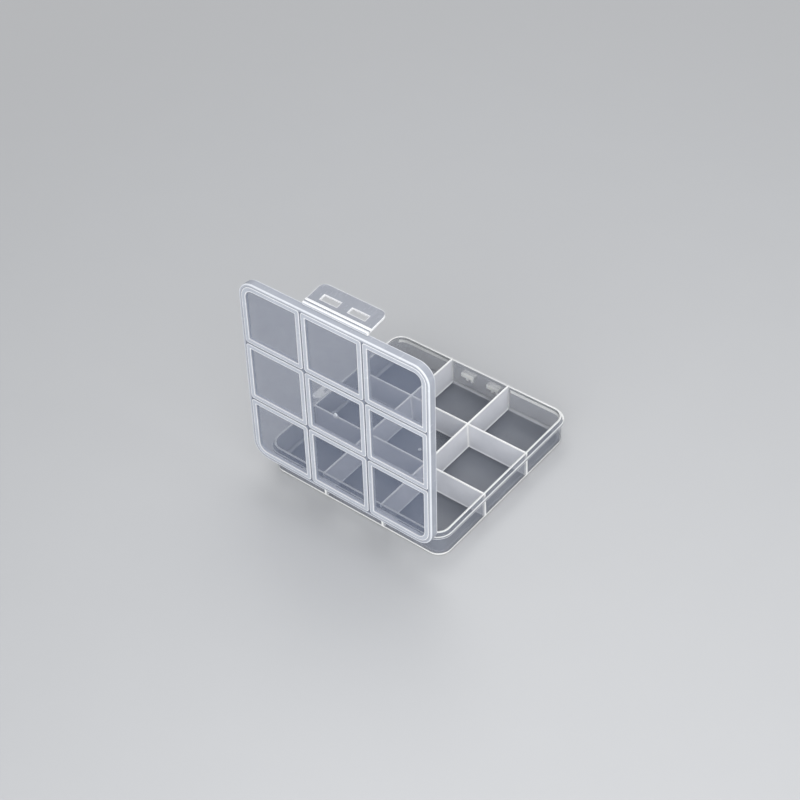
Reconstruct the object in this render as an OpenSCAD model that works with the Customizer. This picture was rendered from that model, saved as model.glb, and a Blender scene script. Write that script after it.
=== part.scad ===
// Nine-compartment bead box: a tray, one hinged lid with nine framed panels, and a latch flap,
// moulded in one clear plastic and joined by thin film hinges.
// The latch is at the front (-Y), the hinge at the back (+Y). The lid stands open, as at rest.

/* [Tray] */
// Width of the tray across its flange, left to right
tray_w = 85; // [74:0.5:110]
// Depth of the tray across its flange, latch to hinge
tray_d = 81; // [70:0.5:105]
// Height of the tray up to its rim and divider tops
tray_h = 12.4; // [12:0.1:18]
// Thickness of the tray's floor
floor_t = 0.8; // [0.6:0.05:1.2]
// Thickness of the tray's outer wall
wall_t = 0.75; // [0.7:0.05:1.2]
// Corner radius of the flange and of the lid
corner_r = 6.6; // [5:0.1:9]
// Thickness of the flange round the wall
flange_t = 1.3; // [1.1:0.05:1.6]
// Height of the collar that stands above the flange
collar_h = 1.5; // [1.3:0.05:2]

/* [Dividers] */
// Thickness of every divider
divider_t = 0.8; // [0.6:0.05:1]
// Distance between the two dividers that run front to back
divider_pitch_x = 27.6; // [24:0.1:30]
// Distance between the two dividers that run left to right
divider_pitch_y = 26.1; // [22:0.1:28]

/* [Lid] */
// Thickness of the lid's plate
lid_t = 1; // [0.8:0.05:1.6]
// Thickness of the lid's skirt
skirt_t = 0.7; // [0.65:0.05:1.2]
// Clearance between the skirt and the tray's collar
skirt_gap = 0.3; // [0.25:0.05:0.6]
// Clearance between the closed skirt and the flange
seat_gap = 0.1; // [0.05:0.05:0.3]
// Clearance between the closed lid's plate and the tray's rim
rim_gap = 1.1; // [0.8:0.05:1.4]
// Width of the raised frame round each panel, on the lid's underside
frame_w = 2; // [1.6:0.1:3]
// Height of that frame
frame_h = 0.5; // [0.3:0.05:0.7]
// Distance between the outer frames and the inside of the lid's skirt
frame_edge = 0.5; // [0.3:0.05:1]
// Gap between neighbouring frames
frame_split = 0.6; // [0.4:0.05:1.2]
// Radius of a frame's corners away from the lid's own corners
frame_r = 1.2; // [0.6:0.1:2]

/* [Hinge] */
// Angle at which the lid stands open
open_angle = 86.8; // [75:0.1:105]
// Distance of the hinge axis outside the flange's edge
hinge_out = 1.5; // [1.3:0.05:1.8]
// Depth of the hinge axis below the flange's top
hinge_drop = 0.35; // [0.3:0.05:0.6]
// Length of each hinge web along the hinge
web_w = 15.6; // [10:0.1:20]
// Slot between the two hinge webs
web_space = 14.2; // [8:0.1:20]
// Thickness of the hinge webs
web_t = 0.45; // [0.3:0.05:0.55]

/* [Latch] */
// Width of the latch flap
tab_w = 29.1; // [26:0.1:34]
// Thickness of the latch flap
tab_t = 0.9; // [0.7:0.05:1.1]
// Gap between the closed lid's edge and the inside of the latched flap
tab_gap = 0.4; // [0.3:0.05:0.7]
// Height of the latched flap's lower edge above the table
tab_foot = 0.6; // [0.4:0.05:1.2]
// Radius of the flap's free corners
tab_r = 3; // [1:0.1:4]
// Angle by which the relaxed flap stands off its latched place
tab_splay = 10; // [10:0.5:20]
// Thickness of the stiff bead along the flap's root
bead_t = 1.2; // [1.1:0.05:1.6]
// Height of that bead
bead_h = 1; // [0.7:0.05:1.2]
// Thickness of the film that the flap folds on
film_t = 0.3; // [0.2:0.05:0.5]
// Height of that film
film_h = 0.5; // [0.4:0.05:0.7]
// Height of the lip on the skirt that carries the film
lip_h = 0.9; // [0.6:0.05:1.2]
// Width of each catch
catch_w = 6; // [4:0.1:7.5]
// Distance between the two catches
catch_pitch = 12.4; // [12:0.1:14]
// Depth of the catches' tops below the flange's top
catch_drop = 3.35; // [3.2:0.05:3.7]
// Height of a catch's outer face
catch_h = 1.85; // [1.4:0.05:2.1]
// How far a catch reaches past the latched flap's inner face
catch_hook = 0.8; // [0.5:0.05:0.8]
// How far the two pointed gussets reach below a catch
gusset_h = 1.05; // [0.9:0.05:1.3]
// Thickness of each gusset
gusset_t = 1; // [0.6:0.1:1.6]
// Clearance at each end of a catch in its window
window_side = 0.8; // [0.4:0.05:1.2]
// Clearance above a catch in its window
window_rise = 0.2; // [0.15:0.05:0.3]
// Clearance below a catch's outer face in its window
window_under = 0.5; // [0.4:0.05:0.6]
// Clearance between the flap and each end of the gap in the flange
flange_cut_gap = 0.5; // [0.3:0.1:1.5]

/* [Lug] */
// How far the side lug sticks out past the flange
lug_out = 4.5; // [3.6:0.1:6]
// Length of the side lug along the tray
lug_len = 12; // [8:0.5:18]
// Place of the lug's root along the tray, from the middle towards the hinge
lug_shift = 1.5; // [-8:0.5:8]
// How far the lug's outer edge is shifted towards the hinge
lug_skew = 2; // [0:0.1:3]
// Radius of the lug's outer corners
lug_r = 0.9; // [0.3:0.1:1.5]
// Length of the slot in the lug
lug_slot_l = 2.6; // [1.5:0.1:4]
// Width of the slot in the lug
lug_slot_w = 1.2; // [0.8:0.1:1.6]
// Distance of the slot from the flange
lug_slot_in = 1.1; // [0.7:0.1:1.4]

/* [Gate marks] */
// Radius of the moulding nub in the middle of the tray's floor and of the lid
gate_r = 0.7; // [0.4:0.05:1]
// Height of the nub on the tray's floor
gate_h = 0.4; // [0.2:0.05:0.6]
// Radius of the dimple round the lid's nub
dimple_r = 1.5; // [1.2:0.1:2.2]
// Depth of that dimple
dimple_h = 0.4; // [0.2:0.05:0.6]

/* [Hidden] */

$fn = 64;
arc_steps = 8;      // straight pieces in each rounded corner of an outline
web_steps = 12;     // straight pieces along the curve of a hinge web
over = 1;           // how far a cutting shape runs past what it cuts

// The flange is as wide as the skirt that rests on it and the clearance inside the skirt.
flange_out = skirt_t + skirt_gap;
flange_top = tray_h - collar_h;
wall_inset = flange_out + wall_t;
divider_x = divider_pitch_x / 2;
divider_y = divider_pitch_y / 2;
inside_x = tray_w / 2 - wall_inset;
inside_y = tray_d / 2 - wall_inset;

// Heights of the closed lid
skirt_foot = flange_top + seat_gap;
lid_under = tray_h + rim_gap;
lid_top = lid_under + lid_t;
frame_inset = skirt_t + frame_edge;

// Hinge axis, along X
hinge_y = tray_d / 2 + hinge_out;
hinge_z = flange_top - hinge_drop;

// Latched flap, with distances outwards measured from the lid's front edge
flap_inner = tab_gap;
film_mid = tab_gap + tab_t - film_t / 2;
flap_pivot_z = skirt_foot - film_h / 2;
bead_top = skirt_foot - film_h;
bead_foot = bead_top - bead_h;
catch_top = flange_top - catch_drop;
catch_foot = catch_top - catch_h;
catch_out = flange_out + tab_gap + catch_hook;
window_w = catch_w + 2 * window_side;
window_top = catch_top + window_rise;
window_foot = catch_foot - window_under;

// Points on a corner of an outline, rounded to radius r; a is the corner before it and b the one after.
function unit(v) = v / norm(v);
function corner_arc(p, a, b, r) =
    let (u = unit(a - p), v = unit(b - p), half = acos(u * v) / 2)
    let (c = p + unit(u + v) * r / sin(half), s = p + u * r / tan(half) - c, e = p + v * r / tan(half) - c)
    [for (i = [0 : arc_steps])
        let (t = i / arc_steps, span = 180 - 2 * half)
        c + (s * sin((1 - t) * span) + e * sin(t * span)) / sin(span)];
function rounded(points, radii) =
    let (n = len(points))
    [for (i = [0 : n - 1])
        each corner_arc(points[i], points[(i + n - 1) % n], points[(i + 1) % n], radii[i])];

// A cubic curve from a to d that leaves along b and arrives along c, and its direction.
function curve_point(a, b, c, d, t) =
    pow(1 - t, 3) * a + 3 * t * pow(1 - t, 2) * b + 3 * t * t * (1 - t) * c + pow(t, 3) * d;
function curve_way(a, b, c, d, t) =
    unit(pow(1 - t, 2) * (b - a) + 2 * t * (1 - t) * (c - b) + t * t * (d - c));

// A flat slab with round corners, centred on Z, set in from the flange outline.
module slab(inset, foot, top) {
    w = tray_w - 2 * inset;
    d = tray_d - 2 * inset;
    r = corner_r - inset;
    translate([0, 0, foot]) linear_extrude(top - foot) union() {
        square([w - 2 * r, d], center = true);
        square([w, d - 2 * r], center = true);
        for (x = [-1, 1], y = [-1, 1])
            translate([x * (w / 2 - r), y * (d / 2 - r)]) circle(r);
    }
}

// A ring between two insets from the flange outline.
module ring(outer, inner, foot, top) {
    difference() {
        slab(outer, foot, top);
        slab(inner, foot - over, top + over);
    }
}

// Turns what is drawn on the closed lid up to where the open lid stands.
module opened() {
    translate([0, hinge_y, hinge_z]) rotate([-open_angle, 0, 0])
        translate([0, -hinge_y, -hinge_z]) children();
}

// Turns what is drawn as latched out to where the relaxed flap stands.
module relaxed() {
    pivot_y = -tray_d / 2 - film_mid;
    translate([0, pivot_y, flap_pivot_z]) rotate([-tab_splay, 0, 0])
        translate([0, -pivot_y, -flap_pivot_z]) children();
}

// A bar on the front of the closed lid; out is measured from the lid's edge.
module front_bar(width, out_in, out_out, foot, top) {
    translate([-width / 2, -tray_d / 2 - out_out, foot])
        cube([width, out_out - out_in, top - foot]);
}

// ---- Tray ----
module tray_floor() {
    color([0.72, 0.76, 0.82]) slab(flange_out, 0, floor_t);
}

module tray_wall() {
    color([0.78, 0.81, 0.86]) ring(flange_out, wall_inset, floor_t, tray_h);
}

// The flange stops short of the latch flap, which hangs in the gap in front of the wall.
module tray_flange() {
    cut_w = tab_w + 2 * flange_cut_gap;
    color([0.86, 0.88, 0.92]) difference() {
        ring(0, flange_out, flange_top - flange_t, flange_top);
        translate([-cut_w / 2, -tray_d / 2 - over, flange_top - flange_t - over])
            cube([cut_w, flange_out + 2 * over, flange_t + 2 * over]);
    }
}

// A divider stands on the floor, between two places across the tray and two along it.
module divider(low, high) {
    color([0.8, 0.83, 0.88]) translate([low[0], low[1], floor_t])
        cube([high[0] - low[0], high[1] - low[1], tray_h - floor_t]);
}

// The two long dividers, side = -1 at the front and 1 at the back.
module long_divider(side) {
    divider([-inside_x, side * divider_y - divider_t / 2], [inside_x, side * divider_y + divider_t / 2]);
}

// A short divider in row -1, 0 or 1 from the front, on side -1 (left) or 1 (right).
module short_divider(side, row) {
    near = divider_y - divider_t / 2;
    far = divider_y + divider_t / 2;
    span = row == 0 ? [-near, near] : row > 0 ? [far, inside_y] : [-inside_y, -far];
    divider([side * divider_x - divider_t / 2, span[0]], [side * divider_x + divider_t / 2, span[1]]);
}

// A catch: a block on the front wall, over two pointed gussets.
module catch(side) {
    wall_y = -tray_d / 2 + flange_out;
    color([0.92, 0.93, 0.9]) translate([side * catch_pitch / 2 - catch_w / 2, wall_y, 0]) {
        translate([0, -catch_out, catch_foot]) cube([catch_w, catch_out, catch_h]);
        for (x = [0, catch_w / 2 - gusset_t / 2]) translate([x, 0, catch_foot])
            rotate([90, 0, 90]) linear_extrude(gusset_t)
                polygon([[0, 0], [-catch_out, 0], [0, -gusset_h]]);
    }
}

// The lug on the right side, at the height of the flange, with its slot.
module side_lug() {
    root_x = tray_w / 2;
    low = lug_shift - lug_len / 2;
    high = lug_shift + lug_len / 2;
    outline = [[0, low], [lug_out, low + lug_skew], [lug_out, high + lug_skew], [0, high]];
    tips = concat([outline[0]],
        corner_arc(outline[1], outline[0], outline[2], lug_r),
        corner_arc(outline[2], outline[1], outline[3], lug_r),
        [outline[3]]);
    color([0.88, 0.9, 0.92]) translate([root_x, 0, flange_top - flange_t])
        difference() {
            linear_extrude(flange_t) polygon(tips);
            translate([lug_slot_in, lug_shift + lug_skew / 2 - lug_slot_l / 2, -over])
                cube([lug_slot_w, lug_slot_l, flange_t + 2 * over]);
        }
}

module tray_gate_nub() {
    color([0.93, 0.94, 0.95]) translate([0, 0, floor_t]) cylinder(h = gate_h, r = gate_r);
}

// ---- Lid ----
module lid_plate() {
    color([0.55, 0.6, 0.7]) opened() difference() {
        slab(0, lid_under, lid_top);
        translate([0, 0, lid_top - dimple_h]) cylinder(h = dimple_h + over, r = dimple_r);
    }
}

module closed_skirt() {
    ring(0, skirt_t, skirt_foot, lid_under);
}

module lid_skirt() {
    color([0.7, 0.74, 0.8]) opened() closed_skirt();
}

module lid_gate_nub() {
    color([0.93, 0.94, 0.95]) opened() translate([0, 0, lid_top - dimple_h])
        cylinder(h = dimple_h, r = gate_r);
}

// The span of a frame in column or row -1, 0 or 1, for dividers at +-centre and a lid edge at +-edge.
function frame_span(place, centre, edge) =
    place == 0 ? [-centre + frame_split / 2, centre - frame_split / 2] :
    place > 0 ? [centre + frame_split / 2, edge - frame_inset] :
    [-edge + frame_inset, -centre - frame_split / 2];

// A raised frame round one panel. A corner at the lid's own corner follows it; the others are small.
module panel_frame(column, row) {
    x = frame_span(column, divider_x, tray_w / 2);
    y = frame_span(row, divider_y, tray_d / 2);
    corners = [[0, 0], [1, 0], [1, 1], [0, 1]];
    radii = [for (c = corners)
        column == 2 * c[0] - 1 && row == 2 * c[1] - 1 ? corner_r - frame_inset : frame_r];
    outer = [for (c = corners) [x[c[0]], y[c[1]]]];
    inner = [for (c = corners)
        [x[c[0]] + (1 - 2 * c[0]) * frame_w, y[c[1]] + (1 - 2 * c[1]) * frame_w]];
    inner_radii = [for (r = radii) max(r - frame_w, frame_r / 2)];
    color([0.85, 0.88, 0.93]) opened() translate([0, 0, lid_under - frame_h])
        linear_extrude(frame_h) difference() {
            polygon(rounded(outer, radii));
            polygon(rounded(inner, inner_radii));
        }
}

// The lip on the front of the skirt that the flap's film hangs from.
module latch_lip() {
    color([0.92, 0.93, 0.95]) opened()
        front_bar(tab_w, 0, tab_gap + tab_t, skirt_foot, skirt_foot + lip_h);
}

// A hinge web leaves the flange's edge level and meets the outside of the lid's skirt square on.
module hinge_web(side) {
    foot_in = web_t / 2 + 0.1;      // how far inside the skirt's free edge the web's middle lies
    handle = hinge_out / 2;         // how far the curve runs straight at each end
    place = [hinge_y, hinge_z];
    turn = [[cos(open_angle), sin(open_angle)], [-sin(open_angle), cos(open_angle)]];
    start = [tray_d / 2, hinge_z];
    end = place + turn * [-hinge_out, skirt_foot + foot_in - hinge_z];
    out = turn * [1, 0];
    points = [start, start + [handle, 0], end + out * handle, end - out * (skirt_t / 2)];
    rim = [for (side_step = [1, -1]) [for (i = [0 : web_steps])
        let (t = i / web_steps, way = curve_way(points[0], points[1], points[2], points[3], t))
        curve_point(points[0], points[1], points[2], points[3], t) + side_step * web_t / 2 * [-way[1], way[0]]]];
    section = concat(rim[0], [for (i = [web_steps : -1 : 0]) rim[1][i]]);
    color([0.9, 0.91, 0.93]) difference() {
        translate([side * (web_space + web_w) / 2 - web_w / 2, 0, 0])
            rotate([90, 0, 90]) linear_extrude(web_w) polygon(section);
        opened() closed_skirt();
    }
}

// ---- Latch flap ----
// The film joins the lip's underside to the bead's top, which is turned out by the splay.
module latch_film() {
    out = [film_mid - film_t / 2, film_mid + film_t / 2];
    bead_edge = [for (o = out) let (d = o - film_mid) [
        film_mid + d * cos(tab_splay) + film_h / 2 * sin(tab_splay),
        flap_pivot_z + d * sin(tab_splay) - film_h / 2 * cos(tab_splay)]];
    section = [[out[0], skirt_foot], [out[1], skirt_foot], bead_edge[1], bead_edge[0]];
    color([0.6, 0.62, 0.68]) opened() translate([tab_w / 2, -tray_d / 2, 0])
        rotate([90, 0, -90]) linear_extrude(tab_w) polygon(section);
}

module latch_bead() {
    color([0.95, 0.95, 0.96]) opened() relaxed()
        front_bar(tab_w, flap_inner, flap_inner + bead_t, bead_foot, bead_top);
}

// The flap hangs from the bead to the tab's foot, with a window for each catch.
module latch_tab() {
    outline = [[-tab_w / 2, tab_foot], [tab_w / 2, tab_foot]];
    section = concat([[-tab_w / 2, bead_foot]],
        corner_arc(outline[0], [-tab_w / 2, bead_foot], outline[1], tab_r),
        corner_arc(outline[1], outline[0], [tab_w / 2, bead_foot], tab_r),
        [[tab_w / 2, bead_foot]]);
    color([0.7, 0.73, 0.8]) opened() relaxed()
        translate([0, -tray_d / 2 - flap_inner, 0]) rotate([90, 0, 0]) linear_extrude(tab_t)
            difference() {
                polygon(section);
                for (side = [-1, 1])
                    translate([side * catch_pitch / 2 - window_w / 2, window_foot])
                        square([window_w, window_top - window_foot]);
            }
}

tray_floor();
tray_wall();
tray_flange();
long_divider(-1);  // divider_front
long_divider(1);  // divider_back
short_divider(-1, -1);  // divider_left_front
short_divider(-1, 0);  // divider_left_middle
short_divider(-1, 1);  // divider_left_back
short_divider(1, -1);  // divider_right_front
short_divider(1, 0);  // divider_right_middle
short_divider(1, 1);  // divider_right_back
catch(-1);  // catch_left
catch(1);  // catch_right
side_lug();
tray_gate_nub();
lid_plate();
lid_skirt();
latch_lip();
lid_gate_nub();
panel_frame(-1, -1);  // frame_front_left
panel_frame(0, -1);  // frame_front_middle
panel_frame(1, -1);  // frame_front_right
panel_frame(-1, 0);  // frame_middle_left
panel_frame(0, 0);  // frame_middle_middle
panel_frame(1, 0);  // frame_middle_right
panel_frame(-1, 1);  // frame_back_left
panel_frame(0, 1);  // frame_back_middle
panel_frame(1, 1);  // frame_back_right
hinge_web(-1);  // hinge_web_left
hinge_web(1);  // hinge_web_right
latch_film();
latch_bead();
latch_tab();
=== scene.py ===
import bpy
import bmesh
import numpy as np
from math import cos, sin, pi, radians
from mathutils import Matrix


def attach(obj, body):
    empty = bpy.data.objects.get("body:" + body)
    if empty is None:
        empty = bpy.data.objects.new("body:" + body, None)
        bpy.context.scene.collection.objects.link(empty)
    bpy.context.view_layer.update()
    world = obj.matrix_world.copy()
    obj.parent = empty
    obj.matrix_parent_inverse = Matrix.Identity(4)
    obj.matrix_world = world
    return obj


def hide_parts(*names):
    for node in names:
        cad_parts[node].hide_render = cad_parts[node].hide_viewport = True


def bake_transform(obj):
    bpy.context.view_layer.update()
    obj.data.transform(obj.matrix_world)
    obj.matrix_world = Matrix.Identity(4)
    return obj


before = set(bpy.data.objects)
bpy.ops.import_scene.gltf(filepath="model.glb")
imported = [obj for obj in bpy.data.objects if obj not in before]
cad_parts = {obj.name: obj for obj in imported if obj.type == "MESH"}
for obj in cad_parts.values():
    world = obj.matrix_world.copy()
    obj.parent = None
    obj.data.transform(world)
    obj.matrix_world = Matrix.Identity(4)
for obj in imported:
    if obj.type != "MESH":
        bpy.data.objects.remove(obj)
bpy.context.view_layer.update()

# Lengths are in millimetres and angles in degrees until a mesh is made.
mm = 0.001
sharpAngle = 38  # faces that meet at more than this shade sharp
weldGap = 1e-7  # points closer than this are one, in metres
flatFrom = 7  # how far in from the edge the tray's floor and the lid's sheet are flat
sideStop = 20  # each side has points at its middle and this far to both sides of it
sideStops = ((-sideStop, 0, sideStop), (sideStop, 0, -sideStop),
             (sideStop, 0, -sideStop), (-sideStop, 0, sideStop))


def asDrawn(points):
    return points


def lifted(loop, height):
    # A flat loop with its height as a third coordinate.
    return np.concatenate([loop, np.full((len(loop), 1), height)], 1)


def rounded(corners, steps=4, guard=0.3, closed=False):
    # A polyline of (a, b, radius, glow, face) corners. Each corner becomes an arc between its two tangent
    # points, which lie radius / tan(half its angle) away, and the arc turns evenly from one to the other.
    # A guard point on each side has the glow of the face, which is the straight stretch after a corner
    # and glows not at all where it isn't given.
    arcShare, guardShare = 0.45, 0.48  # the most of a side that an arc and its guard point may take
    leastGuard = 0.01
    straightOn = -0.99999
    corners = np.array([(*corner, 0.0)[:5] for corner in corners], float)
    count = len(corners)
    out = []
    for i, (a, b, radius, glow, face) in enumerate(corners):
        here = np.array([a, b])
        before, after = corners[i - 1, :2] - here, corners[(i + 1) % count, :2] - here
        longBefore, longAfter = np.hypot(*before), np.hypot(*after)
        before, after = before / longBefore, after / longAfter
        if (not closed and i in (0, count - 1)) or before @ after < straightOn:
            out.append((a, b, glow))
            continue
        half = np.arccos(np.clip(before @ after, -1, 1)) / 2
        reach = min(radius / np.tan(half), arcShare * longBefore, arcShare * longAfter)
        radius = reach * np.tan(half)
        middle = here + (before + after) / np.linalg.norm(before + after) * radius / np.sin(half)
        start, end = here + before * reach - middle, here + after * reach - middle
        span = pi - 2 * half
        t = np.linspace(0, 1, steps + 1)[:, None]
        arc = middle + (start * np.sin((1 - t) * span) + end * np.sin(t * span)) / np.sin(span)
        farBefore = min(reach + guard, guardShare * longBefore)
        farAfter = min(reach + guard, guardShare * longAfter)
        if farBefore > reach + leastGuard:
            out.append((*(here + before * farBefore), corners[i - 1, 4]))
        out += [(x, y, glow) for x, y in arc]
        if farAfter > reach + leastGuard:
            out.append((*(here + after * farAfter), face))
    return np.array(out)


def outline(span, radii, inset, stops=((), (), (), ()), steps=8):
    # A rounded rectangle, set in from its span: at each corner a quarter circle, which is its middle plus
    # the radius times the cosine and sine of an even turn, and then a straight side that passes its
    # stops. The sides are right, back, left and front.
    leastRadius = 0.35
    x0, x1, y0, y1 = span[0] + inset, span[1] - inset, span[2] + inset, span[3] - inset
    radii = np.maximum(np.array(radii, float) - inset, leastRadius)
    places = ((x1, y0, -1, 1), (x1, y1, -1, -1), (x0, y1, 1, -1), (x0, y0, 1, 1))
    parts = []
    for i, (x, y, wayX, wayY) in enumerate(places):
        angle = np.linspace(i * pi / 2 - pi / 2, i * pi / 2, steps + 1)
        parts.append(np.stack([x + wayX * radii[i] + radii[i] * np.cos(angle),
                               y + wayY * radii[i] + radii[i] * np.sin(angle)], 1))
        stop = np.array(stops[i], float)
        if len(stop):
            level = np.full(len(stop), (x1, y1, x0, y0)[i])
            parts.append(np.stack([stop, level] if i % 2 else [level, stop], 1))
    return np.concatenate(parts)


def circleLike(loop, radius):
    # A circle about the middle: the radius times the cosine and sine of each loop point's direction.
    angle = np.arctan2(loop[:, 1], loop[:, 0])
    return np.stack([radius * np.cos(angle), radius * np.sin(angle)], 1)


def glowMesh(name, points, faces, glow):
    # A mesh whose points carry how much they glow: a painted highlight where edges of clear plastic catch
    # light.
    mesh = bpy.data.meshes.new(name)
    mesh.from_pydata(points.tolist(), [], faces)
    mark = mesh.attributes.new("paintedEdgeGlow", "FLOAT", "POINT")
    mark.data.foreach_set("value", glow.astype(np.float32))
    return mesh


def finishPiece(name, mesh, body, nodes, material, blend=None):
    # Welds the mesh, points its faces outwards, and hangs the piece under its body or bakes its place.
    work = bmesh.new()
    work.from_mesh(mesh)
    bmesh.ops.remove_doubles(work, verts=work.verts, dist=weldGap)
    bmesh.ops.recalc_face_normals(work, faces=work.faces)
    work.to_mesh(mesh)
    work.free()
    mesh.shade_smooth()
    mesh.set_sharp_from_angle(angle=radians(sharpAngle))
    piece = bpy.data.objects.new(name, mesh)
    bpy.context.collection.objects.link(piece)
    mesh.materials.append(material)
    if blend:
        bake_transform(piece)
    else:
        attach(piece, body)
    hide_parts(*nodes)
    return piece


def makePiece(name, grid, glow, body, nodes, material, place=asDrawn, ends="cap", blend=None):
    # A grid of rows by points, joined row to row and round each row. The first and last rows are closed
    # by a face each, or joined to each other.
    rows, count = grid.shape[:2]
    points = place(grid).reshape(-1, 3) * mm
    index = np.arange(rows * count).reshape(rows, count)
    if ends == "join":
        index = np.concatenate([index, index[:1]])
    right = np.roll(index, -1, axis=1)
    faces = np.stack([index[:-1], right[:-1], right[1:], index[1:]], -1).reshape(-1, 4).tolist()
    if ends == "cap":
        faces += [index[0][::-1].tolist(), index[-1].tolist()]
    mesh = glowMesh(name, points, faces, np.broadcast_to(glow, (rows, count)).ravel())
    return finishPiece(name, mesh, body, nodes, material, blend)


def sweep(section, stations):
    # A closed section of (out, up, glow) carried along straight stations of (place, glow, size): at each
    # one the section's points are its middle plus the size times their way from it.
    section, stations = np.array(section, float), np.array(stations, float)
    middle = (section[:, :2].max(0) + section[:, :2].min(0)) / 2
    shape = middle + (section[None, :, :2] - middle) * stations[:, None, 2:3]
    along = np.broadcast_to(stations[:, None, :1], shape.shape[:2] + (1,))
    return np.concatenate([along, shape], -1), np.maximum(section[None, :, 2], stations[:, None, 1])


def blockEnds(half):
    # Stations for a bar from -half to half whose ends shrink a little and glow.
    soft, guard, shrink = 0.12, 0.35, 0.86
    return [(-half, 1, shrink), (-half + soft, 1, 1), (-half + soft + guard, 0, 1),
            (half - soft - guard, 0, 1), (half - soft, 1, 1), (half, 1, shrink)]


class Field:
    # One shader socket with arithmetic, so that a sum reads as it does on paper.
    def __init__(self, tree, socket):
        self.tree, self.socket = tree, socket

    def math(self, kind, *others, clamp=False):
        node = self.tree.nodes.new("ShaderNodeMath")
        node.operation, node.use_clamp = kind, clamp
        for place, value in zip(node.inputs, (self, *others)):
            connect(self.tree, value, place)
        return Field(self.tree, node.outputs[0])

    def __add__(self, other):
        return self.math("ADD", other)

    def __radd__(self, other):
        return self.math("ADD", other)

    def __sub__(self, other):
        return self.math("SUBTRACT", other)

    def __rsub__(self, other):
        return self * -1 + other

    def __mul__(self, other):
        return self.math("MULTIPLY", other)

    def __rmul__(self, other):
        return self.math("MULTIPLY", other)

    def __pow__(self, other):
        return self.math("POWER", other)

    def clamped(self):
        return self.math("ADD", 0.0, clamp=True)

    def between(self, low, high):
        # 0 at low, 1 at high, clamped.
        return ((self - low) * (1 / (high - low))).clamped()


def connect(tree, value, place):
    if isinstance(value, Field):
        tree.links.new(value.socket, place)
    elif isinstance(value, bpy.types.NodeSocket):
        tree.links.new(value, place)
    else:
        place.default_value = value


class Shader:
    # A material's nodes, with one method that adds any node.
    def __init__(self, name):
        self.material = bpy.data.materials.new(name)
        self.material.use_nodes = True
        self.tree = self.material.node_tree
        self.surface = self.tree.nodes["Principled BSDF"]
        self.place = Field(self.tree, self.node("ShaderNodeTexCoord", {}, {}).outputs["Object"])

    @classmethod
    def over(cls, tree):
        made = cls.__new__(cls)  # for a tree that has no surface, such as the world's
        made.tree = tree
        return made

    def node(self, kind, settings, sockets):
        made = self.tree.nodes.new(kind)
        for key, value in settings.items():
            setattr(made, key, value)
        for key, value in sockets.items():
            connect(self.tree, value, made.inputs[key])
        return made

    def looking(self):
        # 1 for rays that only look: the camera's, and those in gloss and glass.
        kinds = self.node("ShaderNodeLightPath", {}, {}).outputs
        camera = Field(self.tree, kinds["Is Camera Ray"])
        gloss = Field(self.tree, kinds["Is Glossy Ray"])
        glass = Field(self.tree, kinds["Is Transmission Ray"])
        return (camera + gloss + glass).between(0, 1)

    def noise(self, scale, detail, stretch=None):
        place = self.place
        if stretch:
            place = self.node("ShaderNodeMapping", {}, {"Vector": place, "Scale": stretch}).outputs["Vector"]
        made = self.node("ShaderNodeTexNoise", {}, {"Vector": place, "Scale": scale, "Detail": detail})
        return Field(self.tree, made.outputs["Fac"])

    def attribute(self, name):
        return Field(self.tree, self.node("ShaderNodeAttribute", {"attribute_name": name}, {}).outputs["Fac"])

    def mix(self, amount, first, second):
        sockets = {0: amount, 6: first, 7: second}  # the factor and the two colours
        return self.node("ShaderNodeMix", {"data_type": "RGBA"}, sockets).outputs[2]

    def bump(self, height, strength, distance):
        made = self.node("ShaderNodeBump", {}, {"Strength": strength, "Distance": distance, "Height": height})
        return made.outputs["Normal"]

    def put(self, **sockets):
        for key, value in sockets.items():
            connect(self.tree, value, self.surface.inputs[key.replace("_", " ")])


# Each finish goes from its tint, as solid as its clear, to its milk colour, as solid as its edge; the milk
# colour is both the cloudy haze and the painted highlight at edges.
looks = {
    "sheet": {"tint": (0.15, 0.18, 0.26), "milkAndEdgeLight": (0.78, 0.8, 0.84),
              "clear": 0.36, "edge": 0.93, "cloud": 0.07, "rough": 0.16},
    "floor": {"tint": (0.15, 0.17, 0.215), "milkAndEdgeLight": (0.8, 0.81, 0.83),
              "clear": 0.36, "edge": 0.95, "cloud": 0.08, "rough": 0.18},
    "wall": {"tint": (0.15, 0.175, 0.24), "milkAndEdgeLight": (0.87, 0.87, 0.85),
             "clear": 0.28, "edge": 0.96, "cloud": 0.08, "rough": 0.2},
    # the dividers' near-white, more solid finish is painted light: the same clear plastic, lit through the
    # upright dividers
    "divider": {"tint": (0.9, 0.91, 0.95), "milkAndEdgeLight": (0.92, 0.92, 0.9),
                "clear": 0.68, "edge": 0.98, "cloud": 0.1, "rough": 0.26},
    "frame": {"tint": (0.56, 0.59, 0.66), "milkAndEdgeLight": (0.9, 0.9, 0.9),
              "clear": 0.78, "edge": 1.0, "cloud": 0.08, "rough": 0.18},
    "white": {"tint": (0.86, 0.86, 0.82), "milkAndEdgeLight": (0.9, 0.9, 0.87),
              "clear": 0.95, "edge": 1.0, "cloud": 0.04, "rough": 0.24,
              "depth": 2.0},  # how far light spreads inside
    "film": {"tint": (0.3, 0.32, 0.37), "milkAndEdgeLight": (0.4, 0.42, 0.46),
             "clear": 0.75, "edge": 0.85, "cloud": 0.05, "rough": 0.3},
    "tab": {"tint": (0.27, 0.29, 0.34), "milkAndEdgeLight": (0.9, 0.9, 0.91),
            "clear": 0.62, "edge": 1.0, "cloud": 0.1, "rough": 0.2},
}

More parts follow.
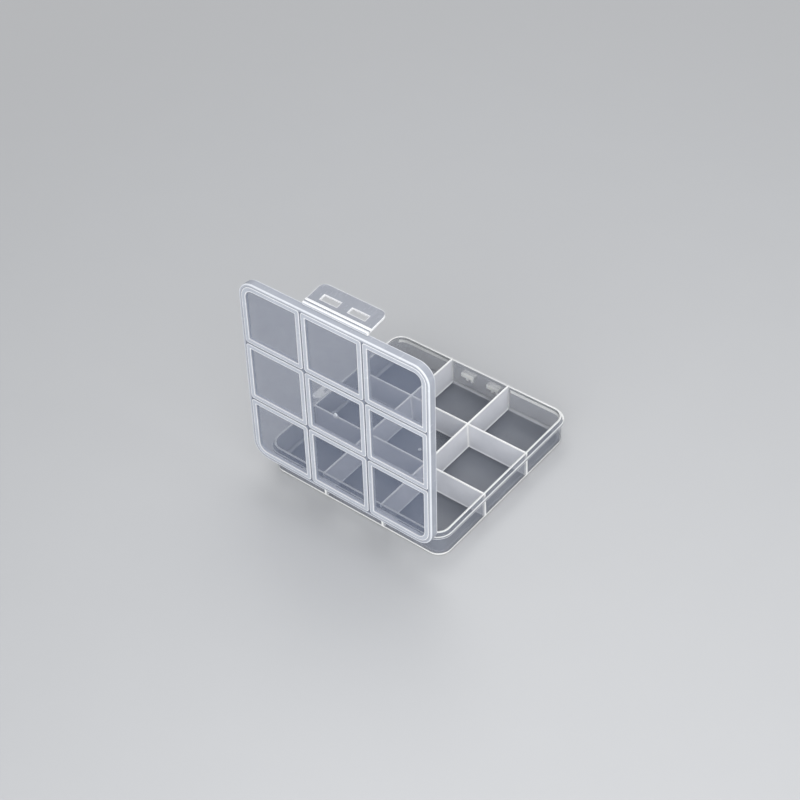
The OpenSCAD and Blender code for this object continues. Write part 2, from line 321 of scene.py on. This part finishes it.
plastic = {
    "cloud": (90, 4), "scuff": (900, 2), "speck": (1500, 1),  # scale and detail of each noise
    "scuffStretch": (1, 0.25, 1), "scuffRange": (0.55, 0.8), "speckRange": (0.76, 0.84),
    "fullGlow": 0.9, "glowMilk": 0.92, "speckMilk": 0.12, "speckSolid": 0.1,
    "cloudRough": 0.1, "scuffRough": 0.12,
    "cloudBump": 0.6, "scuffBump": 0.4, "bump": 0.12, "bumpDepth": 0.0002,
    "index": 1.49, "spread": 0.7, "spreadColour": (1, 1, 0.95),
}


def clearPlastic(name):
    # Milky plastic: the tint shows on broad faces; the milk colour shows in the haze, and at edges as a
    # painted highlight for light caught in the plastic. Alpha is the sheet's own haze, raised at the painted
    # edge highlights and in slow clouds. Fine scuffs roughen it.
    look = looks[name]
    shader = Shader(name)
    glow = shader.attribute("paintedEdgeGlow")
    cloud = shader.noise(*plastic["cloud"])
    scuff = shader.noise(*plastic["scuff"], stretch=plastic["scuffStretch"]).between(*plastic["scuffRange"])
    speck = shader.noise(*plastic["speck"]).between(*plastic["speckRange"])
    haze = (cloud - 0.5) * look["cloud"] * 2
    shine = glow.between(0, plastic["fullGlow"])
    hazeAndEdgeLight = shine * plastic["glowMilk"] + haze + speck * plastic["speckMilk"]
    solid = shine * (look["edge"] - look["clear"]) + look["clear"] + haze + speck * plastic["speckSolid"]
    height = cloud * plastic["cloudBump"] + scuff * plastic["scuffBump"]
    shader.put(Base_Color=shader.mix(hazeAndEdgeLight, (*look["tint"], 1), (*look["milkAndEdgeLight"], 1)),
               Alpha=solid.clamped(),
               Roughness=look["rough"] + cloud * plastic["cloudRough"] + scuff * plastic["scuffRough"],
               Normal=shader.bump(height, plastic["bump"], plastic["bumpDepth"]),
               IOR=plastic["index"])
    if "depth" in look:
        shader.put(Subsurface_Weight=plastic["spread"], Subsurface_Radius=plastic["spreadColour"],
                   Subsurface_Scale=look["depth"] * mm)
    return shader.material


materials = {name: clearPlastic(name) for name in looks}
print("materials ready")


tray = {
    "width": 85, "depth": 81, "height": 12.4, "corner": 6.6, "floor": 0.8, "wall": 0.75,
    "flange": 1.0, "flangeTop": 10.9, "flangeFoot": 9.6,
    "draft": 0.1, "rimLean": 0.05,  # lean of the inner wall and of the collar above the flange
    "stepIn": 0.2, "stepHigh": 0.95, "footIn": 0.25,  # the foot round the outside, with a painted highlight for light gathered in the floor's edge
    "flapCut": 15.05, "cutEnd": 0.12, "cutIn": 0.03,  # half the gap in the flange where the flap hangs
    "bandRise": 0.1, "bandFade": 0.15, "farFlangeHighlight": 0.9,  # a painted highlight on the far flange, which shows through the wall as well
    "nub": ((0.3, 1.2, 1), (0.55, 1.15, 1), (0.7, 0.95, 0.8), (0.8, 0.8, 0.2), (1.3, 0.8, 0)),
    "nubUnder": (1.3, 0.3),
    "level": 0.97, "floorReach": 0.6,  # faces this level and this near the floor have the floor's finish
}


def edgeSpan():
    # The span and corner radii of the flange's outline, which is the lid's as well.
    x, y = tray["width"] / 2, tray["depth"] / 2
    return (-x, x, -y, y), [tray["corner"]] * 4


def trayShell():
    # One skin of loops set in from the flange's outline: the nub, the inner floor, the wall, its rim, the
    # flange, the outside and the underside. The flange stops where the flap hangs, by moving its points
    # back to the wall.
    span, radii = edgeSpan()
    cut, cutEnd = tray["flapCut"], tray["cutEnd"]
    stops = (*sideStops[:3], (-cut - cutEnd, -cut, 0, cut, cut + cutEnd))
    out, top, floor = tray["flange"], tray["height"], tray["floor"]
    flangeTop, flangeFoot = tray["flangeTop"], tray["flangeFoot"]
    inner = out + tray["wall"]
    # the inner wall carries a band where the far flange's painted highlight shows through
    bandFoot, bandTop, fade = flangeFoot, flangeTop + tray["bandRise"], tray["bandFade"]
    band = [(inner + tray["draft"] * (top - height) / (top - floor), height, 0, 0)
            for height in (bandFoot - fade, bandFoot, bandTop, bandTop + fade)]
    profile = rounded([
        (flatFrom, floor, 0, 0),
        (inner + tray["draft"], floor, 0.9, 0.4),  # the round inner edge of the floor
        *band,
        (inner, top, 0.22, 1, 0.6),  # the rim
        (out + tray["rimLean"], top, 0.18, 0.9, 0.2),
        (out, flangeTop, 0.12, 0.2, 0.2),  # the flange
        (0, flangeTop, 0.16, 0.8, 0.25),
        (0, flangeFoot, 0.18, 0.8, 0.2),
        (out, flangeFoot, 0.15, 0.25, 0.15),
        (out + tray["stepIn"], tray["stepHigh"], 0.06, 0.9, 1),  # the foot, painted bright as a highlight from here down
        (out + tray["footIn"], 0, 0.3, 1),
        (flatFrom, 0, 0, 0)])
    base = outline(span, radii, flatFrom, stops)
    atWall = outline(span, radii, out - tray["cutIn"], stops)
    inCut = (np.abs(base[:, 0]) <= cut + cutEnd / 2) & (base[:, 1] < -sideStop)
    rows, glow = [], []
    for radius, height, shine in tray["nub"]:
        rows.append(lifted(circleLike(base, radius), height))
        glow.append(np.full(len(base), shine))
    for inset, height, shine in profile:
        loop = outline(span, radii, inset, stops)
        rowShine = np.full(len(base), shine)
        onFlange = inset < out - tray["cutIn"]
        if onFlange:
            loop = np.where(inCut[:, None], atWall, loop)
        # along the latch side the flange, and the band of wall in front of it, get a painted highlight
        if onFlange or (inset >= inner and bandFoot <= height <= bandTop):
            beside = (loop[:, 1] < span[2] + tray["corner"] / 2) & ~inCut
            rowShine[beside] = tray["farFlangeHighlight"]
        rows.append(lifted(loop, height))
        glow.append(rowShine)
    for radius in tray["nubUnder"]:
        rows.append(lifted(circleLike(base, radius), 0))
        glow.append(np.zeros(len(base)))
    shell = makePiece("trayShell", np.array(rows), np.array(glow), "tray",
                      ["tray_floor", "tray_wall", "tray_flange", "tray_gate_nub"],
                      materials["wall"])
    shell.data.materials.append(materials["floor"])
    faces = shell.data.polygons
    normal, middle = np.zeros(len(faces) * 3), np.zeros(len(faces) * 3)
    faces.foreach_get("normal", normal)
    faces.foreach_get("center", middle)
    low = middle[2::3] < (floor + tray["floorReach"]) * mm
    flat = (np.abs(normal[2::3]) > tray["level"]) & low
    faces.foreach_set("material_index", flat.astype(np.int32))


divider = {
    "thick": 0.8, "x": 13.8, "y": 13.05, "taper": 0.05, "fillet": 0.3,
    "root": 0.77,  # how far an end runs into the wall, just past its outer face
    "sunk": 0.02,  # how far the foot lies in the floor
    "glow": 0.8, "wallGlow": (0.2, 0.5), "crossGlow": (0.5, 0.85),  # where the glow starts and ends to fade
}


def dividers():
    # A bar carried straight along, with a flared foot, a slight taper and a round top. It has a painted
    # highlight where it meets a wall or crosses another.
    half, taper, fillet = divider["thick"] / 2, divider["taper"], divider["fillet"]
    foot, top = tray["floor"], tray["height"]
    sunk = foot - divider["sunk"]
    section = rounded([
        (-half - fillet, sunk, 0, 0.55), (-half, foot + fillet, 0.3, 0.4), (-half + taper, top, 0.3, 1),
        (half - taper, top, 0.3, 1), (half, foot + fillet, 0.3, 0.4), (half + fillet, sunk, 0, 0.55)
    ], steps=3)
    inX, inY = (tray[key] / 2 - tray["flange"] - tray["wall"] for key in ("width", "depth"))
    x, y, reach = divider["x"], divider["y"], divider["root"]
    wallNear, wallFar = divider["wallGlow"]
    crossNear, crossFar = divider["crossGlow"]

    def stations(start, end, crossings=()):
        marks = [(start, 1), (start + reach + wallNear, 1), (start + reach + wallFar, 0)]
        for c in crossings:
            marks += [(c - crossFar, 0), (c - crossNear, 1), (c + crossNear, 1), (c + crossFar, 0)]
        marks += [(end - reach - wallFar, 0), (end - reach - wallNear, 1), (end, 1)]
        return [(place, shine * divider["glow"], 1) for place, shine in marks]

    def bar(name, grid, glow):
        makePiece("divider_" + name + "_bar", grid, glow, "tray", ["divider_" + name],
                  materials["divider"])

    for name, side in (("front", -1), ("back", 1)):
        grid, glow = sweep(section, stations(-inX - reach, inX + reach, (-x, x)))
        grid[..., 1] += side * y
        bar(name, grid, glow)
    for name, side in (("left", -1), ("right", 1)):
        for row, start, end in (("front", -inY - reach, -y), ("middle", -y, y), ("back", y, inY + reach)):
            grid, glow = sweep(section, stations(start, end))
            bar(name + "_" + row, np.stack([grid[..., 1] + side * x, grid[..., 0], grid[..., 2]], -1), glow)


catch = {
    "x": 6.2, "wide": 6.0, "top": 7.55, "foot": 5.7, "out": 2.2, "gusset": 1.05, "prong": 1.0,
    "root": 0.1,  # how far it goes on behind the wall's inner face
    "step": 0.15,  # how soon a gusset starts and stops
    "endSize": 0.9, "least": 0.001, "glow": 0.75,
}


def catches():
    # A block with two pointed gussets under it, as sections side by side: a section's inner corner moves
    # down by the gusset's height where a gusset stands. The end sections are a little smaller.
    front = -tray["depth"] / 2 + tray["flange"]
    out, top, foot, wide = catch["out"], catch["top"], catch["foot"], catch["wide"]
    prong, step, endSize = catch["prong"], catch["step"], catch["endSize"]
    root = tray["wall"] + catch["root"]
    middle = wide / 2 - prong / 2
    centre = np.array([-out / 2, (top + foot) / 2])
    # how far along, share of the gusset's height, size
    places = [(0, 1, endSize), (step, 1, 1), (prong, 1, 1), (prong + step, 0, 1),
              (middle - step, 0, 1), (middle, 1, 1), (middle + prong, 1, 1), (middle + prong + step, 0, 1),
              (wide - step, 0, 1), (wide, 0, endSize)]
    for name, side in (("left", -1), ("right", 1)):
        rows = []
        for along, share, size in places:
            low = foot - share * catch["gusset"] - catch["least"]
            ring = rounded([(root, top, 0.05, 1), (-out, top, 0.3, 1), (-out, foot, 0.3, 1),
                            (root, low, 0.2, 1)], steps=3, closed=True)[:, :2]
            ring = centre + (ring - centre) * size
            x = np.full(len(ring), side * catch["x"] - wide / 2 + along)
            rows.append(np.stack([x, ring[:, 0] + front, ring[:, 1]], 1))
        count = min(len(row) for row in rows)
        makePiece("catch_" + name + "_block", np.array([row[:count] for row in rows]),
                  np.array(catch["glow"]), "tray", ["catch_" + name], materials["white"])


lug = {
    "out": 4.5, "long": 12, "shift": 1.5, "skew": 2, "radius": 0.9,
    "slotLong": 2.6, "slotWide": 1.2, "slotIn": 1.1, "slotSquare": 6,
    "sunk": 0.1, "rootPoints": 16, "points": 73, "soft": 0.2, "faceGlow": 0.7,
}


def sideLug():
    # A flat plate between the lug's outline and its slot, joined round as a ring. The slot's edge lies
    # where the sixth powers of its two shares, across and along, add up to 1.
    sunk, face = -lug["sunk"], lug["faceGlow"]
    low, high = lug["shift"] - lug["long"] / 2, lug["shift"] + lug["long"] / 2
    turned = rounded([(sunk, low, 0, 0), (lug["out"], low + lug["skew"], lug["radius"], 0),
                      (lug["out"], high + lug["skew"], lug["radius"], 0), (sunk, high, 0, 0)], steps=6)[:, :2]
    rootLine = np.linspace(low, high, lug["rootPoints"])[1:-1]
    edge = np.concatenate([turned[::-1], np.stack([np.full(len(rootLine), sunk), rootLine], 1)])[::-1]
    step = np.hypot(*(np.roll(edge, -1, 0) - edge).T)
    along = np.concatenate([[0], np.cumsum(step)])
    closed = np.concatenate([edge, edge[:1]])
    at = np.sort(np.concatenate([np.linspace(0, along[-1], lug["points"])[:-1], along[:-1]]))
    outer = np.stack([np.interp(at, along, closed[:, i]) for i in (0, 1)], 1)
    centre = np.array([lug["slotIn"] + lug["slotWide"] / 2, lug["shift"] + lug["skew"] / 2])
    way = outer - centre
    halfSlot = np.array([lug["slotWide"], lug["slotLong"]]) / 2
    power = lug["slotSquare"]
    reach = 1 / (np.abs(way / halfSlot) ** power).sum(1) ** (1 / power)
    slot = centre + way * reach[:, None]
    foot, top = tray["flangeFoot"], tray["flangeTop"]
    softFoot, softTop = foot + lug["soft"], top - lug["soft"]
    rows, glow = [], []
    # share of the way from the slot to the outline, height, glow
    for share, height, shine in ((0, softFoot, 1), (0, softTop, 1), (0.08, top, 1), (0.22, top, face),
                                 (0.75, top, face), (0.93, top, 1), (1, softTop, 1), (1, softFoot, 1),
                                 (0.93, foot, 1), (0.75, foot, face), (0.22, foot, face), (0.08, foot, 1)):
        loop = slot + (outer - slot) * share
        rows.append(lifted(loop + np.array([tray["width"] / 2, 0]), height))
        glow.append(np.full(len(loop), shine))
    makePiece("sideLugPlate", np.array(rows), np.array(glow), "tray", ["side_lug"],
              materials["white"], ends="join")


trayShell()
dividers()
catches()
sideLug()
print("tray ready")


lid = {
    "foot": 11.0, "under": 13.5, "top": 14.5, "skirt": 0.7, "lean": 0.04,
    "open": 86.8, "axisY": 42.0, "axisZ": 10.55,
    "rim": (1.1, 1.3),  # where the glow of the top's rim starts and ends to fade
    "underMiddle": 0.9,
    "dimple": ((1.8, 0, 0), (1.5, 0.02, 0.4), (1.35, 0.34, 0.15), (0.85, 0.4, 0)),  # radius, drop, glow
    "nub": ((0.72, 0.36, 0.6), (0.6, 0.05, 0.9), (0.45, 0, 0.6)),
}


def opened(points):
    # The closed lid's points turned back about the hinge axis: a plain turn of (y, z) by the open angle.
    a = radians(lid["open"])
    y, z = points[..., 1] - lid["axisY"], points[..., 2] - lid["axisZ"]
    return np.stack([points[..., 0], y * cos(a) + z * sin(a) + lid["axisY"],
                     -y * sin(a) + z * cos(a) + lid["axisZ"]], -1)


def lidShell():
    # One skin of loops set in from the lid's outline: the underside, the skirt, the outer edge and the
    # top, and then circles down into the dimple and up its nub.
    span, radii = edgeSpan()
    foot, under, top, skirt, lean = (lid[key] for key in ("foot", "under", "top", "skirt", "lean"))
    rimStart, rimEnd = lid["rim"]
    profile = rounded([
        (flatFrom, under, 0, 0),
        (skirt, under, 0.4, 0.3, 0.45),  # the skirt
        (skirt - lean, foot, 0.2, 0.9, 0.9),
        (lean, foot, 0.25, 1, 0.45),
        (0, top, 0.35, 0.9, 0.55),  # the top's rim
        (rimStart, top, 0, 0.5),
        (rimEnd, top, 0, 0),
        (flatFrom, top, 0, 0)], steps=5)
    base = outline(span, radii, flatFrom, sideStops)
    rows, glow = [lifted(circleLike(base, lid["underMiddle"]), under)], [0]
    for inset, height, shine in profile:
        rows.append(lifted(outline(span, radii, inset, sideStops), height))
        glow.append(shine)
    for radius, drop, shine in lid["dimple"] + lid["nub"]:
        rows.append(lifted(circleLike(base, radius), top - drop))
        glow.append(shine)
    makePiece("lidShell", np.array(rows), np.array(glow)[:, None], "lid",
              ["lid_plate", "lid_skirt", "lid_gate_nub"], materials["sheet"], place=opened)


panel = {"inset": 1.2, "split": 0.6, "wide": 2.0, "high": 0.5, "corner": 1.2, "proud": 0.02}


def panelFrames():
    # The thick milky band round a panel: a bar with rounded shoulders, from the ridge under the sheet up
    # to the sheet's top, carried round the panel's rounded rectangle.
    wide, crown, face = panel["wide"], lid["under"] - panel["high"], lid["top"] + panel["proud"]
    section = rounded([(0, crown, 0.2, 1), (wide, crown, 0.2, 1), (wide, face, 0.16, 1), (0, face, 0.16, 1)],
                      steps=3, closed=True)
    gap = panel["split"] / 2

    def spans(edge, near):
        return (-edge, -near - gap), (-near + gap, near - gap), (near + gap, edge)

    columns = spans(tray["width"] / 2 - panel["inset"], divider["x"])
    rows = spans(tray["depth"] / 2 - panel["inset"], divider["y"])
    lidCorner = tray["corner"] - panel["inset"]
    spots = ((2, 0), (2, 2), (0, 2), (0, 0))  # the column and row of the panel at each of the lid's corners
    for i, columnName in enumerate(("left", "middle", "right")):
        for j, rowName in enumerate(("front", "middle", "back")):
            radii = [lidCorner if (i, j) == spot else panel["corner"] for spot in spots]
            loops = [lifted(outline(columns[i] + rows[j], radii, inset, steps=6), height)
                     for inset, height, _ in section]
            name = "frame_" + rowName + "_" + columnName
            makePiece(name + "_ridge", np.array(loops), section[:, 2][:, None], "lid", [name],
                      materials["frame"], place=opened, ends="join")


web = {
    "x": 14.9, "wide": 15.6, "thick": 0.45, "out": 1.5, "footIn": 0.325,
    "trayIn": 0.1, "lidIn": 0.3,  # how far it runs into the flange and into the skirt
    "points": 25, "glow": 0.35,
}


def hingeWebs():
    # A strip along a cubic curve from the flange's edge to the open lid's skirt. With s for 1 - t, it is
    # s cubed times the start, 3 t s squared times b, 3 t squared s times c and t cubed times the end.
    # Half the strip's thickness lies to each side of it.
    def turned(out):
        return opened(np.array([0.0, tray["depth"] / 2 - out, lid["foot"] + web["footIn"]]))[1:]

    start = np.array([tray["depth"] / 2 - web["trayIn"], lid["axisZ"]])
    end = turned(web["lidIn"])
    out = end - turned(web["lidIn"] + 1)
    handle = web["out"] / 2
    b, c = start + [handle + web["trayIn"], 0], end + out * (handle + web["lidIn"])
    t = np.linspace(0, 1, web["points"])[:, None]
    line = (1 - t) ** 3 * start + 3 * t * (1 - t) ** 2 * b + 3 * t * t * (1 - t) * c + t ** 3 * end
    way = np.gradient(line, axis=0)
    way /= np.linalg.norm(way, axis=1)[:, None]
    side = np.stack([-way[:, 1], way[:, 0]], 1)
    half = web["wide"] / 2
    section = rounded([(-half, -1, 0, 1), (half, -1, 0, 1), (half, 1, 0, 1), (-half, 1, 0, 1)],
                      steps=2, guard=0.4, closed=True)
    for name, sign in (("left", -1), ("right", 1)):
        along = np.broadcast_to(section[None, :, 0], (len(line), len(section))) + sign * web["x"]
        flat = line[:, None] + side[:, None] * section[None, :, 1:2] * web["thick"] / 2
        grid = np.concatenate([along[..., None], flat], -1)
        makePiece("hinge_web_" + name + "_strip", grid, np.maximum(section[:, 2], web["glow"]), "tray",
                  ["hinge_web_" + name], materials["frame"],
                  blend=("tray", "lid", (0, start[0] * mm, start[1] * mm), (0, end[0] * mm, end[1] * mm)))


lidShell()
panelFrames()
hingeWebs()
print("lid ready")


flap = {
    "width": 29.1, "inner": 0.4, "thick": 0.9, "foot": 0.6, "corner": 3.0,
    "splay": 10, "pivotZ": 10.75, "pivotOut": 1.15,
    "lipIn": 0.05, "lipHigh": 0.9, "lipRadius": 0.2,
    "film": 0.3, "filmHigh": 0.5, "filmLean": 0.03, "filmRows": 9, "filmEdge": 0.3, "filmGlow": 0.9,
    "rootTop": 10.5, "rootFoot": 9.5, "rootThick": 1.2, "rootRadius": 0.28, "faceGlow": 0.3,
    "windowWide": 7.6, "windowFoot": 5.2, "windowTop": 7.75, "windowX": 6.2,
    "guard": 0.4, "near": 0.05, "tabIn": 0.05, "cornerSteps": 9, "widthSteps": 12,
    "soft": 0.16, "softSteps": 2, "softAngle": 50,
}


def relaxed(points):
    # The latched flap's points turned out about the film: a plain turn of (y, z) by the splay.
    a = radians(flap["splay"])
    pivotY = -tray["depth"] / 2 - flap["pivotOut"]
    y, z = points[..., 1] - pivotY, points[..., 2] - flap["pivotZ"]
    return np.stack([points[..., 0], y * cos(a) + z * sin(a) + pivotY,
                     -y * sin(a) + z * cos(a) + flap["pivotZ"]], -1)


def relaxedOpened(points):
    return opened(relaxed(points))


def flapBar(name, inner, outer, foot, top, radius, body, node, place):
    # A bar as wide as the flap: a rectangle with rounded corners, between two distances from the tray's
    # front and two heights, carried straight along with softened ends.
    front = -tray["depth"] / 2
    corners = ((front - inner, foot), (front - outer, foot), (front - outer, top), (front - inner, top))
    section = rounded([(*corner, radius, 1) for corner in corners], steps=3, closed=True)
    grid, glow = sweep(section, blockEnds(flap["width"] / 2))
    makePiece(name, grid, np.maximum(glow, flap["faceGlow"]), body, [node],
              materials["frame"], place=place)


def latchFilm():
    # A thin strip from the lip's underside to the bead's top. Each row lies lower by an even step and
    # further out by the step times the sine of its turn, which eases from 0 to the splay as 3t2 - 2t3.
    half, edge, rows, high = flap["width"] / 2, flap["filmEdge"], flap["filmRows"], flap["filmHigh"]
    front = -tray["depth"] / 2 - flap["pivotOut"]
    share = np.linspace(0, 1, rows)[:, None]
    turn = radians(flap["splay"]) * share ** 2 * (3 - 2 * share)
    middle = np.concatenate([np.full_like(share, front), lid["foot"] - share * high], 1)
    middle[:, 0] -= np.cumsum(np.sin(turn[:, 0])) * high / rows
    across = np.array([-half, -half + edge, half - edge, half])
    xs = np.concatenate([across, across[::-1]])
    sides = np.repeat([1, -1], len(across)) * flap["film"] / 2
    shift = np.stack([np.cos(turn), -np.sin(turn)], -1)[:, 0]
    flat = middle[:, None] + sides[None, :, None] * shift[:, None]
    grid = np.concatenate([np.broadcast_to(xs[None, :, None], flat.shape[:2] + (1,)), flat], -1)
    glow = (np.abs(xs) == half) * flap["filmGlow"]
    start = opened(np.array([0.0, front, lid["foot"]])) * mm
    end = opened(np.array([0.0, front - flap["filmLean"], lid["foot"] - high])) * mm
    makePiece("latchFilmStrip", grid, glow, "lid", ["latch_film"], materials["film"],
              place=opened, blend=("lid", "latch", tuple(start), tuple(end)))


def latchTab():
    # A flat grid with the windows' cells left out. At each free corner a square of it is drawn into a
    # quarter disc: x stays x times the root of 1 - y2 / 2, and y the same with x.
    half, corner, guard, near = flap["width"] / 2, flap["corner"], flap["guard"], flap["near"]
    foot, low, high = flap["foot"], flap["windowFoot"], flap["windowTop"]
    windows = []
    for side in (-1, 1):
        middle = side * flap["windowX"]
        windows.append((middle - flap["windowWide"] / 2, middle + flap["windowWide"] / 2))
    arc = corner * np.linspace(0, 1, flap["cornerSteps"])
    even = np.linspace(-half, half, flap["widthSteps"])
    xs = [-half + arc, half - arc, [-half + guard, half - guard], even]
    for left, right in windows:
        xs.append([left - guard, left, right, right + guard])
    xs = np.unique(np.round(np.concatenate(xs), 4))
    xs = xs[np.concatenate([[True], np.diff(xs) > near])]
    levels = [foot + guard, low - guard, low, high, high + guard, flap["rootFoot"] + flap["tabIn"]]
    zs = np.unique(np.round(np.concatenate([foot + arc, levels]), 4))
    gridX, gridZ = np.meshgrid(xs, zs)
    midX, midZ = (xs[1:] + xs[:-1]) / 2, (zs[1:] + zs[:-1]) / 2
    fromEdge = np.minimum(half - np.abs(gridX), gridZ - foot)
    glow = (fromEdge < near) * 1.0
    hole = np.zeros((len(midZ), len(midX)), bool)
    for left, right in windows:
        beside = (gridX > left - near) & (gridX < right + near) & (gridZ > low - near) & (gridZ < high + near)
        glow = np.maximum(glow, beside * 1.0)
        hole |= (midX[None] > left) & (midX[None] < right) & (midZ[:, None] > low) & (midZ[:, None] < high)
    a = np.clip((np.abs(gridX) - (half - corner)) / corner, 0, 1)
    b = np.clip((foot + corner - gridZ) / corner, 0, 1)
    atCorner = (a > 0) & (b > 0)
    discX = np.sign(gridX) * (half - corner + corner * a * np.sqrt(1 - b * b / 2))
    discZ = foot + corner - corner * b * np.sqrt(1 - a * a / 2)
    flatX, flatZ = np.where(atCorner, discX, gridX), np.where(atCorner, discZ, gridZ)
    index = np.arange(gridX.size).reshape(gridX.shape)
    cells = np.stack([index[:-1, :-1], index[:-1, 1:], index[1:, 1:], index[1:, :-1]], -1)[~hole]
    edges = np.concatenate([np.stack([cells[:, i], cells[:, (i + 1) % 4]], 1) for i in range(4)])
    _, first, times = np.unique(np.sort(edges, 1), axis=0, return_index=True, return_counts=True)
    rim = edges[first[times == 1]]  # an edge of one cell only lies on the flap's edge or on a window's
    back = gridX.size  # the inner face's points come after the outer face's
    walls = np.stack([rim[:, 1], rim[:, 0], rim[:, 0] + back, rim[:, 1] + back], 1)
    used, faces = np.unique(np.concatenate([cells, cells[:, ::-1] + back, walls]), return_inverse=True)
    outerY = -tray["depth"] / 2 - flap["inner"] - flap["thick"]
    layers = [np.stack([flatX, np.full_like(flatX, y), flatZ], -1).reshape(-1, 3)
              for y in (outerY, outerY + flap["thick"])]
    points = relaxedOpened(np.concatenate(layers))[used] * mm
    mesh = glowMesh("latchTabPlate", points, faces.reshape(-1, 4).tolist(), np.tile(glow.ravel(), 2)[used])
    piece = finishPiece("latchTabPlate", mesh, "latch", ["latch_tab"], materials["tab"])
    soft = piece.modifiers.new("softEdges", "BEVEL")
    soft.width, soft.segments = flap["soft"] * mm, flap["softSteps"]
    soft.limit_method, soft.angle_limit = "ANGLE", radians(flap["softAngle"])


flapBar("latchLipBar", -flap["lipIn"], flap["inner"] + flap["thick"], lid["foot"],
        lid["foot"] + flap["lipHigh"], flap["lipRadius"], "lid", "latch_lip", opened)
latchFilm()
flapBar("latchBeadBar", flap["inner"], flap["inner"] + flap["rootThick"], flap["rootFoot"],
        flap["rootTop"], flap["rootRadius"], "latch", "latch_bead", relaxedOpened)
latchTab()
print("latch ready")


stage = {
    "floorHalf": 3.0, "floorZ": -0.0002,  # metres
    "floor": (0.46, 0.465, 0.475), "fleck": 1.02, "grain": (40, 4), "floorRough": 0.42,
    "even": (0.5, 0.505, 0.515), "fade": (0.22, 0.6),  # the far background, and where the floor fades to it
    "sky": (0.93, 0.96, 1), "skyPower": 0.42,
    "lamps": (("overhead", (0.1, -0.25, 0.75), 0.7, 3.3),  # name, place in metres, size, power
              ("side", (-0.6, 0.1, 0.4), 0.5, 1.5),
              ("front", (-0.3, 0.6, 0.3), 0.8, 5.2)),
    "at": (-312.086, 356.62, 464.008), "turn": (47.24845, 3.31634, -141.16345),
    "lens": 77.292, "sensor": 36, "halfPixel": 0.5 / 800, "clip": (0.01, 20),
}


def layFloor():
    # A plain sheet, painted almost evenly.
    half, z = stage["floorHalf"], stage["floorZ"]
    mesh = bpy.data.meshes.new("floorSheet")
    corners = [(-half, -half, z), (half, -half, z), (half, half, z), (-half, half, z)]
    mesh.from_pydata(corners, [], [(0, 1, 2, 3)])
    floor = bpy.data.objects.new("floorSheet", mesh)
    bpy.context.collection.objects.link(floor)
    paint = Shader("floorPaint")
    colour = stage["floor"]
    lighter = tuple(v * stage["fleck"] for v in colour)
    paint.put(Base_Color=paint.mix(paint.noise(*stage["grain"]), (*colour, 1), (*lighter, 1)),
              Roughness=stage["floorRough"])
    # far from the object the floor fades into the even background, for the rays that only look at it
    parts = paint.node("ShaderNodeSeparateXYZ", {}, {"Vector": paint.place}).outputs
    x, y = Field(paint.tree, parts["X"]), Field(paint.tree, parts["Y"])
    far = ((x * x + y * y) ** 0.5).between(*stage["fade"]) * paint.looking()
    even = paint.node("ShaderNodeEmission", {}, {"Color": (*stage["even"], 1)}).outputs[0]
    faded = paint.node("ShaderNodeMixShader", {}, {0: far, 1: paint.surface.outputs[0], 2: even}).outputs[0]
    paint.tree.links.new(faded, paint.tree.nodes["Material Output"].inputs["Surface"])
    mesh.materials.append(paint.material)


def lightRoom():
    # A pale sky that lights the object, and an even background for the rays that only look at it.
    world = bpy.data.worlds.new("paleRoom")
    world.use_nodes = True
    sky = Shader.over(world.node_tree)
    light = sky.tree.nodes["Background"]
    connect(sky.tree, (*stage["sky"], 1), light.inputs["Color"])
    connect(sky.tree, stage["skyPower"], light.inputs["Strength"])
    even = sky.node("ShaderNodeBackground", {}, {"Color": (*stage["even"], 1)}).outputs[0]
    seen = sky.node("ShaderNodeMixShader", {}, {0: sky.looking(), 1: light.outputs[0], 2: even}).outputs[0]
    sky.tree.links.new(seen, sky.tree.nodes["World Output"].inputs["Surface"])
    bpy.context.scene.world = world


def hangLamps():
    # Each lamp is turned so that it shines at the middle of the floor.
    for name, at, size, power in stage["lamps"]:
        light = bpy.data.lights.new(name, "AREA")
        light.size, light.energy = size, power
        lamp = bpy.data.objects.new(name, light)
        lamp.location = at
        aim = -np.array(at)
        tilt = np.arccos(-aim[2] / np.linalg.norm(aim))
        lamp.rotation_euler = (tilt, 0, np.arctan2(aim[1], aim[0]) - pi / 2)
        bpy.context.collection.objects.link(lamp)


def placeCamera():
    view = bpy.data.cameras.new("view")
    view.lens, view.sensor_width, view.sensor_fit = stage["lens"], stage["sensor"], "HORIZONTAL"
    view.shift_x, view.shift_y = -stage["halfPixel"], stage["halfPixel"]
    view.clip_start, view.clip_end = stage["clip"]
    camera = bpy.data.objects.new("view", view)
    camera.location = [v * mm for v in stage["at"]]
    camera.rotation_euler = [radians(v) for v in stage["turn"]]
    bpy.context.collection.objects.link(camera)
    bpy.context.scene.camera = camera


layFloor()
lightRoom()
hangLamps()
placeCamera()
bpy.context.scene.view_settings.view_transform = "Standard"
print("stage ready")
